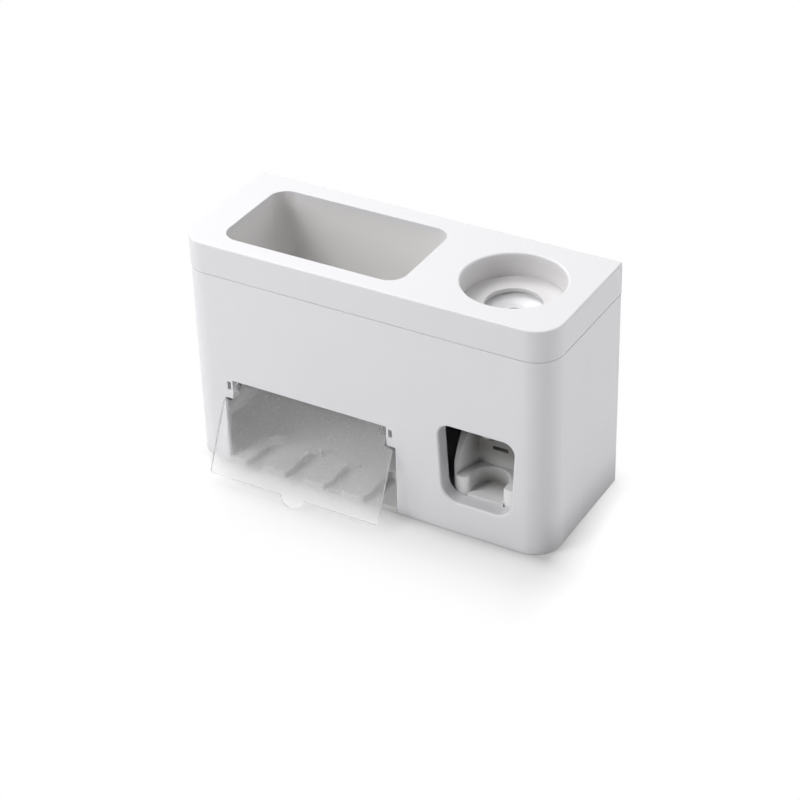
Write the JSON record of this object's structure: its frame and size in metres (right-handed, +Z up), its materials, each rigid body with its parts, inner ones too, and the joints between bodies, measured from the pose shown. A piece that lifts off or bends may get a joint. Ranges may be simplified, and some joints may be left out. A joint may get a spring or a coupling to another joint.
{
  "type": "toothpaste dispenser",
  "caption": "Bathroom unit with a storage tray, a cup well, a covered brush bay with a clear flap, and a lever pump that squeezes paste from a tube.",
  "frame": {"origin": "middle of the case's base, on the surface that the unit stands on", "axes": "+X to the user's right along the width, +Y to the back that meets the wall, +Z up"},
  "size_m": [0.2644, 0.1274, 0.1644],
  "materials": {
    "shell_plastic": "satin moulded ABS, very light grey white",
    "lever_plastic": "satin moulded, white",
    "pump_plastic": "natural white moulded",
    "clear_plastic": "clear, slightly frosted sheet",
    "silicone": "translucent grey silicone",
    "steel": "bright zinc plated"
  },
  "bodies": {
    "case": {"front_shell": "shell_plastic", "back_shell": "shell_plastic", "brush_comb": "shell_plastic", "base_cover": "shell_plastic", "lever_axle": "steel", "axle_clips": "steel", "pump_bracket": "pump_plastic", "pump_body": "pump_plastic", "cylinder_cap": "pump_plastic", "inlet_cup": "shell_plastic", "inlet_gasket": "silicone", "intake_valve": "silicone", "outlet_valve": "silicone", "outlet_nozzle": "lever_plastic", "channel_plug": "pump_plastic", "shell_screws": "steel", "comb_screws": "steel", "cover_screws": "steel", "bracket_screws": "steel", "pump_screws": "steel", "return_spring": "steel"},
    "tray": {"top_tray": "shell_plastic"},
    "flap": {"dust_flap": "clear_plastic"},
    "lever": {"push_lever": "lever_plastic", "lever_bushes": "pump_plastic"},
    "plunger": {"plunger": "lever_plastic", "plunger_seal": "silicone"}
  },
  "joints": [
    {"name": "tray_lift", "type": "slide", "parent": "case", "child": "tray", "axis": [0, 0, 1], "range_m": [0, 0.1]},
    {"name": "flap_hinge", "type": "hinge", "parent": "case", "child": "flap", "pos_m": [-0.04035, -0.0462, 0.061], "axis": [-1, 0, 0], "range_deg": [-22, 84]},
    {"name": "lever_pivot", "type": "hinge", "parent": "case", "child": "lever", "pos_m": [0.0823, -0.0105, 0.086], "axis": [1, 0, 0], "range_deg": [0, 12], "stiffness_Nm_per_rad": 0.98, "springref_deg": -8.02},
    {"name": "plunger_slide", "type": "slide", "parent": "case", "child": "plunger", "axis": [0, 1, 0], "range_m": [0, 0.0072], "deforming": ["return_spring"]}
  ],
  "couplings": [
    {"joint": "plunger_slide", "follows": "lever_pivot", "m_per_rad": 0.0343}
  ]
}
